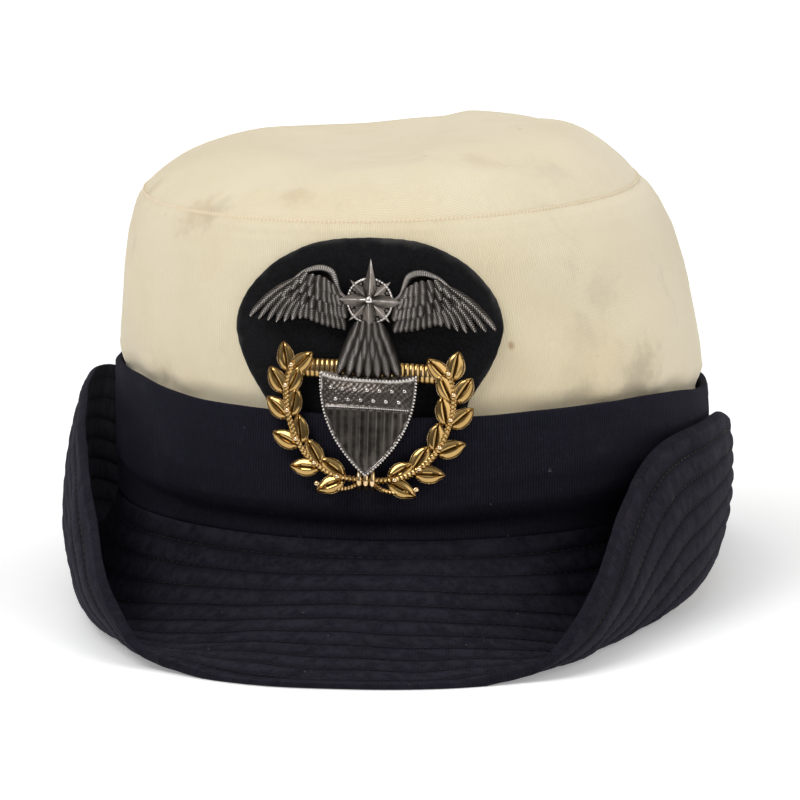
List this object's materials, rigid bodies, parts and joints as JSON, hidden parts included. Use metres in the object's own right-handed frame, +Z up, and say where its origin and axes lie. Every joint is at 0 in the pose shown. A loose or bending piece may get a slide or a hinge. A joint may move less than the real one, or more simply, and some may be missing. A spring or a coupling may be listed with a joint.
{
  "type": "brimmed uniform hat",
  "caption": "Soft cloth hat with a bucket crown, dark band, stitched brim rolled up at both sides, and a winged metal badge on a felt backing at the front.",
  "frame": {"origin": "middle of the hat's outer box, on the surface that it stands on", "axes": "+Z up, -Y the way the wearer faces, +X the wearer's left"},
  "size_m": [0.1904, 0.305, 0.1285],
  "materials": {
    "crown_cloth": "cream ribbed cotton, matte, lightly stained",
    "navy_cloth": "dark navy ribbed wool, matte",
    "backing_felt": "black felt, matte",
    "silver_metal": "oxidised silver relief, worn bright on its high parts",
    "gold_metal": "polished gold plate",
    "nut_metal": "plain brass"
  },
  "bodies": {
    "root": {"crown_tip": "crown_cloth", "crown_side": "crown_cloth", "hat_band": "navy_cloth", "brim": "navy_cloth", "badge_backing": "backing_felt", "badge_silver": "silver_metal", "badge_gold": "gold_metal", "badge_nut": "nut_metal"}
  },
  "joints": []
}
